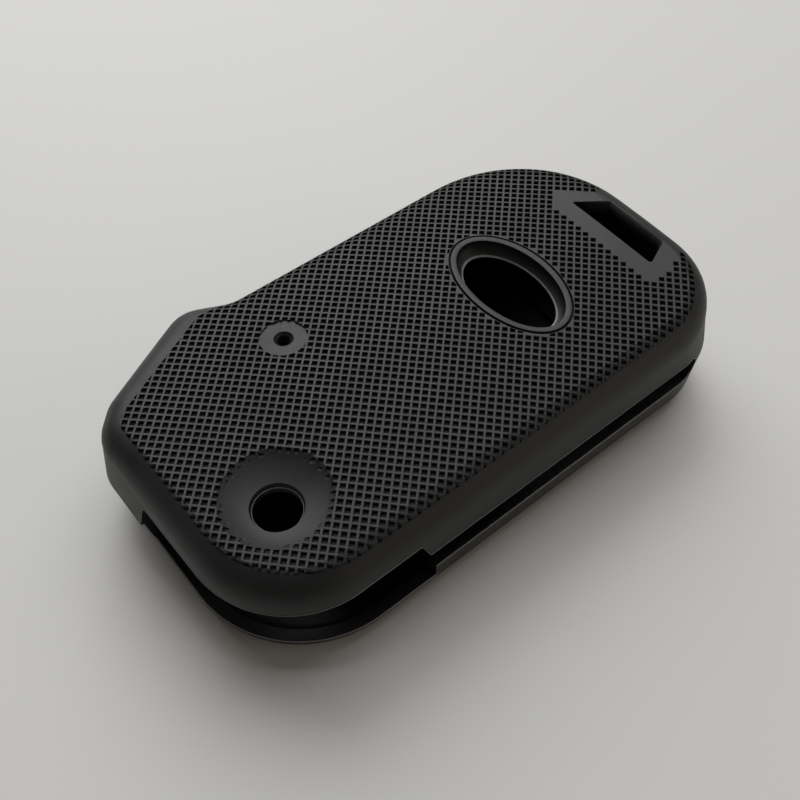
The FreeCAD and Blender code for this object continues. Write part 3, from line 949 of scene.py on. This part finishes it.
def pit_nodes():
    """Geometry nodes that set pits in a turned grid onto a surface."""
    group = bpy.data.node_groups.new("pit_grid", "GeometryNodeTree")
    sockets = (
        ("Geometry", "NodeSocketGeometry"),
        ("Surface", "NodeSocketObject"),
        ("Pit", "NodeSocketObject"),
        ("Material", "NodeSocketMaterial"),
        ("Rim Material", "NodeSocketMaterial"),
        ("Pitch", "NodeSocketFloat"),
        ("Span", "NodeSocketFloat"),
        ("Turn", "NodeSocketFloat"),
        ("Height", "NodeSocketFloat"),
        ("Unevenness", "NodeSocketFloat"),
        ("Flattest", "NodeSocketFloat"),
        ("Seed", "NodeSocketInt"),
    )
    for name, kind in sockets:
        group.interface.new_socket(name, in_out="INPUT", socket_type=kind)
    group.interface.new_socket("Geometry", in_out="OUTPUT", socket_type="NodeSocketGeometry")
    nodes = group.nodes
    link = group.links.new
    given = nodes.new("NodeGroupInput").outputs
    result = nodes.new("NodeGroupOutput").inputs

    def math_node(operation, a, b):
        node = nodes.new("ShaderNodeMath")
        node.operation = operation
        for socket, value in zip(node.inputs, (a, b)):
            if isinstance(value, (int, float)):
                socket.default_value = value
            else:
                link(value, socket)
        return node.outputs[0]

    grid = nodes.new("GeometryNodeMeshGrid")
    count = math_node("ADD", math_node("DIVIDE", given["Span"], given["Pitch"]), 1)
    for axis in ("X", "Y"):
        link(given["Span"], grid.inputs["Size " + axis])
        link(count, grid.inputs["Vertices " + axis])
    turn = nodes.new("ShaderNodeCombineXYZ")
    link(given["Turn"], turn.inputs["Z"])
    lift = nodes.new("ShaderNodeCombineXYZ")
    link(given["Height"], lift.inputs["Z"])
    place = nodes.new("GeometryNodeTransform")
    link(grid.outputs["Mesh"], place.inputs["Geometry"])
    link(lift.outputs[0], place.inputs["Translation"])
    link(turn.outputs[0], place.inputs["Rotation"])

    surface = nodes.new("GeometryNodeObjectInfo")
    link(given["Surface"], surface.inputs["Object"])
    ray = nodes.new("GeometryNodeRaycast")
    link(surface.outputs["Geometry"], ray.inputs["Target Geometry"])
    ray.inputs["Ray Direction"].default_value = (0, 0, -1)
    ray.inputs["Ray Length"].default_value = GRID_RAY
    normal = nodes.new("ShaderNodeSeparateXYZ")
    link(ray.outputs["Hit Normal"], normal.inputs[0])
    flat = math_node("GREATER_THAN", normal.outputs["Z"], given["Flattest"])
    usable = math_node("MULTIPLY", flat, ray.outputs["Is Hit"])
    drop = nodes.new("GeometryNodeDeleteGeometry")
    drop.domain = "POINT"
    link(place.outputs["Geometry"], drop.inputs["Geometry"])
    link(math_node("LESS_THAN", usable, 0.5), drop.inputs["Selection"])

    shift = nodes.new("FunctionNodeRandomValue")
    shift.data_type = "FLOAT_VECTOR"
    reach = nodes.new("ShaderNodeCombineXYZ")
    back_reach = nodes.new("ShaderNodeCombineXYZ")
    for axis in ("X", "Y"):
        link(given["Unevenness"], reach.inputs[axis])
        link(math_node("MULTIPLY", given["Unevenness"], -1), back_reach.inputs[axis])
    link(back_reach.outputs[0], shift.inputs["Min"])
    link(reach.outputs[0], shift.inputs["Max"])
    link(given["Seed"], shift.inputs["Seed"])
    settle = nodes.new("GeometryNodeSetPosition")
    link(drop.outputs["Geometry"], settle.inputs["Geometry"])
    link(ray.outputs["Hit Position"], settle.inputs["Position"])
    link(shift.outputs["Value"], settle.inputs["Offset"])

    pit = nodes.new("GeometryNodeObjectInfo")
    link(given["Pit"], pit.inputs["Object"])
    size = nodes.new("FunctionNodeRandomValue")
    size.data_type = "FLOAT"
    link(math_node("SUBTRACT", 1, given["Unevenness"]), size.inputs[2])
    link(math_node("ADD", 1, given["Unevenness"]), size.inputs[3])
    link(math_node("ADD", given["Seed"], 1), size.inputs["Seed"])
    scale = nodes.new("ShaderNodeCombineXYZ")
    link(size.outputs[1], scale.inputs["X"])
    link(size.outputs[1], scale.inputs["Y"])
    scale.inputs["Z"].default_value = 1
    spread = nodes.new("GeometryNodeInstanceOnPoints")
    link(settle.outputs["Geometry"], spread.inputs["Points"])
    link(pit.outputs["Geometry"], spread.inputs["Instance"])
    link(turn.outputs[0], spread.inputs["Rotation"])
    link(scale.outputs[0], spread.inputs["Scale"])
    real = nodes.new("GeometryNodeRealizeInstances")
    link(spread.outputs[0], real.inputs[0])
    dress = nodes.new("GeometryNodeSetMaterial")
    link(real.outputs[0], dress.inputs["Geometry"])
    link(given["Material"], dress.inputs["Material"])
    # The pits' sloping rim faces take the rim material, a painted highlight
    slope = nodes.new("ShaderNodeSeparateXYZ")
    link(nodes.new("GeometryNodeInputNormal").outputs[0], slope.inputs[0])
    leaning = math_node("LESS_THAN", slope.outputs["Z"], PIT_RIM_SLOPE)
    not_floor = math_node("GREATER_THAN", slope.outputs["Z"], PIT_FLOOR_SLOPE)
    rim = nodes.new("GeometryNodeSetMaterial")
    link(dress.outputs[0], rim.inputs["Geometry"])
    link(math_node("MULTIPLY", leaning, not_floor), rim.inputs["Selection"])
    link(given["Rim Material"], rim.inputs["Material"])
    link(rim.outputs[0], result[0])
    return group


def lattice_pits(surface, material, rim_highlight_material):
    """All pits of the back, trimmed to the lattice field."""
    pit = pit_shape(material)
    pits = add_object("pits", bpy.data.meshes.new("pits"))
    group = pit_nodes()
    values = {
        "Surface": surface,
        "Pit": pit,
        "Material": material,
        "Rim Material": rim_highlight_material,
        "Pitch": PITCH,
        "Span": GRID_SPAN,
        "Turn": math.radians(GRID_TURN),
        "Height": GRID_HEIGHT,
        "Unevenness": GRID_UNEVENNESS,
        "Flattest": GRID_FLATTEST,
        "Seed": GRID_SEED,
    }
    step = pits.modifiers.new("pit_grid", "NODES")
    step.node_group = group
    for item in group.interface.items_tree:
        if item.in_out == "INPUT" and item.name in values:
            step[item.identifier] = values[item.name]
    baked(pits)
    remove(pit)
    combine(pits, lattice_field(material), "INTERSECT")
    return pits


def new_material(name):
    material = bpy.data.materials.new(name)
    material.use_nodes = True
    return material


def silicone_group():
    """Shared detail of the silicone: mottling, dust and a fine grain."""
    group = bpy.data.node_groups.new("silicone_detail", "ShaderNodeTree")
    group.interface.new_socket("Grain", in_out="INPUT", socket_type="NodeSocketFloat")
    for name, kind in (("Mottle", "Float"), ("Dust", "Float"), ("Normal", "Vector")):
        group.interface.new_socket(name, in_out="OUTPUT", socket_type="NodeSocket" + kind)
    nodes = group.nodes
    link = group.links.new
    given = nodes.new("NodeGroupInput").outputs
    result = nodes.new("NodeGroupOutput").inputs
    coords = nodes.new("ShaderNodeTexCoord").outputs["Object"]

    def noise(scale, detail, rough):
        node = nodes.new("ShaderNodeTexNoise")
        node.inputs["Scale"].default_value = scale
        node.inputs["Detail"].default_value = detail
        node.inputs["Roughness"].default_value = rough
        link(coords, node.inputs["Vector"])
        return node.outputs["Fac"]

    def spread(value, low, high):
        node = nodes.new("ShaderNodeMapRange")
        node.inputs["From Min"].default_value = low
        node.inputs["From Max"].default_value = high
        link(value, node.inputs["Value"])
        return node.outputs["Result"]

    mix = nodes.new("ShaderNodeMix")
    mix.inputs["Factor"].default_value = 0.4
    link(noise(scale=170, detail=4, rough=0.6), mix.inputs["A"])
    link(noise(scale=2600, detail=3, rough=0.6), mix.inputs["B"])
    link(spread(mix.outputs["Result"], low=0.35, high=0.65), result["Mottle"])

    specks = nodes.new("ShaderNodeTexVoronoi")
    specks.inputs["Scale"].default_value = 900
    link(coords, specks.inputs["Vector"])
    patches = noise(scale=420, detail=2, rough=0.5)
    dust = nodes.new("ShaderNodeMath")
    dust.operation = "MULTIPLY"
    link(spread(specks.outputs["Distance"], low=0.07, high=0.03), dust.inputs[0])
    link(spread(patches, low=0.55, high=0.7), dust.inputs[1])
    link(dust.outputs[0], result["Dust"])

    bump = nodes.new("ShaderNodeBump")
    bump.inputs["Distance"].default_value = 0.00003
    link(given["Grain"], bump.inputs["Strength"])
    link(noise(scale=9000, detail=3, rough=0.55), bump.inputs["Height"])
    link(bump.outputs["Normal"], result["Normal"])
    return group


def silicone(name, dark, light, rough, grain, dust, specular=0.5):
    """Matte silicone between a dark and a light tone."""
    material = new_material(name)
    nodes = material.node_tree.nodes
    link = material.node_tree.links.new
    shader = nodes["Principled BSDF"]
    shader.inputs["Specular IOR Level"].default_value = specular
    detail = nodes.new("ShaderNodeGroup")
    detail.node_tree = bpy.data.node_groups.get("silicone_detail") or silicone_group()
    detail.inputs["Grain"].default_value = grain
    tone = nodes.new("ShaderNodeMix")
    tone.data_type = "RGBA"
    tone.inputs["A"].default_value = (*dark, 1)
    tone.inputs["B"].default_value = (*light, 1)
    link(detail.outputs["Mottle"], tone.inputs["Factor"])
    dusty = nodes.new("ShaderNodeMix")
    dusty.data_type = "RGBA"
    dusty.inputs["B"].default_value = (0.16, 0.15, 0.14, 1)
    share = nodes.new("ShaderNodeMath")
    share.operation = "MULTIPLY"
    share.inputs[1].default_value = dust
    link(detail.outputs["Dust"], share.inputs[0])
    link(share.outputs[0], dusty.inputs["Factor"])
    link(tone.outputs["Result"], dusty.inputs["A"])
    link(dusty.outputs["Result"], shader.inputs["Base Color"])
    polish = nodes.new("ShaderNodeMapRange")
    polish.inputs["To Min"].default_value, polish.inputs["To Max"].default_value = rough
    link(detail.outputs["Mottle"], polish.inputs["Value"])
    link(polish.outputs["Result"], shader.inputs["Roughness"])
    link(detail.outputs["Normal"], shader.inputs["Normal"])
    return material


def keep_face_flat(mesh):
    """Marks the rim of the flat front face sharp, so that its long triangles shade as flat."""
    work = bmesh.new()
    work.from_mesh(mesh)
    for edge in work.edges:
        flat = [face.normal.z < LEVEL_DOWN for face in edge.link_faces]
        if any(flat) and not all(flat):
            edge.smooth = False
    work.to_mesh(mesh)
    work.free()


def finished(piece):
    """Scales a piece to metres and gives it clean shading."""
    mesh = piece.data
    work = bmesh.new()
    work.from_mesh(mesh)
    bmesh.ops.triangulate(work, faces=work.faces)
    bmesh.ops.remove_doubles(work, verts=work.verts, dist=WELD)
    work.to_mesh(mesh)
    work.free()
    mesh.shade_smooth()
    mesh.set_sharp_from_angle(angle=math.radians(SHARP_ANGLE))
    keep_face_flat(mesh)
    weigh = piece.modifiers.new("weigh", "WEIGHTED_NORMAL")
    weigh.keep_sharp = True
    baked(piece)
    piece.data.name = piece.name
    for vertex in piece.data.vertices:
        vertex.co *= MM
    return piece


def make_cover():
    """The two halves of the moulding, which meet at the parting height."""
    smooth = silicone(
        "silicone_smooth", dark=(0.008, 0.008, 0.0085), light=(0.015, 0.015, 0.0155),
        rough=(0.42, 0.54), grain=0.35, dust=0.8, specular=0.38,
    )
    # Pits and the badge groove: the same silicone painted a little darker, as painted shade in the
    # hollows
    pit = silicone(
        "silicone_pit", dark=(0.006, 0.006, 0.0065), light=(0.011, 0.011, 0.0115),
        rough=(0.55, 0.7), grain=0.3, dust=0.5, specular=0.22,
    )
    # Pit rims: lighter silicone, a painted highlight along the ridge edges
    rim = silicone(
        "silicone_rim", dark=(0.026, 0.026, 0.0265), light=(0.044, 0.044, 0.0445),
        rough=(0.36, 0.5), grain=0.3, dust=0.8, specular=0.45,
    )
    # Inside, slit faces, deep slot walls and hole throat: painted darker and bluer, as painted
    # shade with a bluish painted reflection
    inner = silicone(
        "silicone_inside", dark=(0.003, 0.0034, 0.0045), light=(0.008, 0.009, 0.012),
        rough=(0.45, 0.6), grain=0.4, dust=0.5, specular=0.25,
    )
    # Lips, flash, the bead round the pivot hole and the badge lip: light silicone, a painted
    # highlight
    cut = silicone(
        "silicone_lip", dark=(0.14, 0.137, 0.131), light=(0.22, 0.216, 0.206),
        rough=(0.4, 0.55), grain=0.6, dust=0.4,
    )

    shell = outer_form(smooth)
    inside = pillow(
        "inside", SIDE_WALL, FRONT_WALL, BACK_WALL,
        BACK_ROUND - SIDE_WALL, FRONT_ROUND - SIDE_WALL, INSIDE_EDGE_STEPS, inner,
    )
    combine(shell, inside, "DIFFERENCE")
    boss = [(COLLAR_RADIUS, COLLAR_LOW), (COLLAR_RADIUS, COLLAR_HIGH)]
    combine(shell, turned("boss", boss, *PIVOT, inner), "UNION")
    mouth, flash = mouth_tools(inner, cut)
    combine(shell, mouth, "DIFFERENCE")
    combine(shell, flash, "UNION")
    combine(shell, dish_cutter(smooth, inner, cut), "DIFFERENCE")
    disc = face_cutter("disc", (SCREW_PAD, SCREW_PAD), SCREW, SCREW_FACE, smooth)
    combine(shell, disc, "DIFFERENCE")
    combine(shell, screw_cutter(smooth), "DIFFERENCE")
    hole = oval_prism("badge_hole", shrunk(BADGE_OUTER, BADGE_OVERLAP), PARTING, smooth)
    combine(shell, hole, "DIFFERENCE")
    combine(shell, badge_ring(smooth, cut), "UNION")
    # The groove takes the pit material, which is painted shade
    combine(shell, badge_groove(pit), "DIFFERENCE")
    combine(shell, slot_cutter(smooth, inner), "DIFFERENCE")
    combine(shell, release_cutter(smooth), "DIFFERENCE")
    for index in range(len(BUTTONS)):
        combine(shell, button_cutter(index, smooth), "DIFFERENCE")
    surface = pitted_surface(smooth)
    # Pits take the darker pit material as painted shade, and their rims the lighter rim material as
    # a painted highlight
    combine(shell, lattice_pits(surface, pit, rim), "DIFFERENCE")
    remove(surface)

    reach = SPLIT_REACH
    front = add_object("cover_front", shell.data.copy())
    shell.name = "cover_back"
    upper = block("upper", (-reach, -reach, PARTING), (reach, reach, reach), inner)
    lower = block("lower", (-reach, -reach, -reach), (reach, reach, PARTING), inner)
    combine(shell, upper, "INTERSECT")
    combine(front, lower, "INTERSECT")
    return finished(shell), finished(front)


def make_pad(index, material):
    """Press pad with a soft edge and a slightly domed face."""
    rings = []
    low = BUTTON_RECESS
    high = BUTTON_RECESS + BUTTON_THICKNESS
    soft = BUTTON_SOFT
    for k in range(DOME_STEPS + 1):
        share = k / DOME_STEPS
        margin = (BUTTON_DOME_REACH - soft) * share - BUTTON_DOME_REACH
        rings.append(button_ring(index, margin, low + BUTTON_DOME * share ** 2))
    for rise, step in quarter_round(soft, PAD_EDGE_STEPS)[1:]:
        rings.append(button_ring(index, -step, low + BUTTON_DOME + rise))
    rings.append(button_ring(index, 0, high - BUTTON_BEVEL))
    rings.append(button_ring(index, -BUTTON_BEVEL, high))
    return finished(loft(BUTTONS[index] + "_pad", rings, material))


def make_web(index, material):
    """Thin sloping skin between the front face and a pad."""
    lower = []
    upper = []
    for k in range(WEB_STEPS + 1):
        share = k / WEB_STEPS
        rise = WEB_LOW + WEB_RISE * smooth_step(share)
        lower.append(button_ring(index, WEB_SPAN * (1 - share), rise))
        upper.append(button_ring(index, WEB_SPAN * (1 - share), rise + WEB_THICKNESS))
    return finished(loft(BUTTONS[index] + "_skin", lower + upper[::-1], material, closed=True))


def dress_cover():
    back, front = make_cover()
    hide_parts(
        "back_shell", "back_flap", "pivot_collar", "screw_pad", "badge_ring", "keyring_frame",
    )
    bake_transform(back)
    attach(front, "cover")
    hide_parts("front_shell", "release_collar")
    soft = silicone(
        "silicone_pad", dark=(0.018, 0.018, 0.019), light=(0.03, 0.03, 0.031),
        rough=(0.5, 0.6), grain=0.3, dust=0.5,
    )
    for index, name in enumerate(BUTTONS):
        pad = make_pad(index, soft)
        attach(pad, name)
        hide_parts(name)
        web = make_web(index, soft)
        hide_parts(name + "_web")
        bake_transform(web)


def make_floor():
    work = bmesh.new()
    bmesh.ops.create_grid(work, x_segments=4, y_segments=4, size=FLOOR_HALF)
    bmesh.ops.translate(work, verts=work.verts, vec=(0, 0, -FLOOR_GAP))
    material = new_material("floor")
    shader = material.node_tree.nodes["Principled BSDF"]
    shader.inputs["Base Color"].default_value = FLOOR_COLOUR
    shader.inputs["Roughness"].default_value = FLOOR_ROUGHNESS
    floor = from_bmesh("floor", work, material)


def add_softbox(name, place, size, power, colour):
    """Round soft lamp that faces the cover."""
    lamp = bpy.data.lights.new(name, "AREA")
    lamp.shape = "DISK"
    lamp.size = size
    lamp.energy = power
    lamp.color = colour
    box = bpy.data.objects.new(name, lamp)
    box.location = place
    box.rotation_euler = (-Vector(place)).to_track_quat("-Z", "Y").to_euler()
    bpy.context.scene.collection.objects.link(box)


def make_light():
    world = bpy.data.worlds.new("studio")
    world.use_nodes = True
    sky = world.node_tree.nodes["Background"]
    sky.inputs["Color"].default_value = SKY_COLOUR
    sky.inputs["Strength"].default_value = SKY_STRENGTH
    bpy.context.scene.world = world
    for softbox in SOFTBOXES:
        add_softbox(*softbox)


def make_camera():
    lens = bpy.data.cameras.new("camera")
    lens.lens = CAMERA_LENS
    lens.sensor_width = CAMERA_SENSOR
    lens.clip_start = CAMERA_NEAREST
    camera = bpy.data.objects.new("camera", lens)
    camera.location = CAMERA_PLACE
    camera.rotation_euler = Vector(CAMERA_AIM).to_track_quat("-Z", "Y").to_euler()
    bpy.context.scene.collection.objects.link(camera)
    bpy.context.scene.camera = camera


bpy.context.scene.view_settings.view_transform = "Standard"
make_floor()
make_light()
make_camera()
dress_cover()
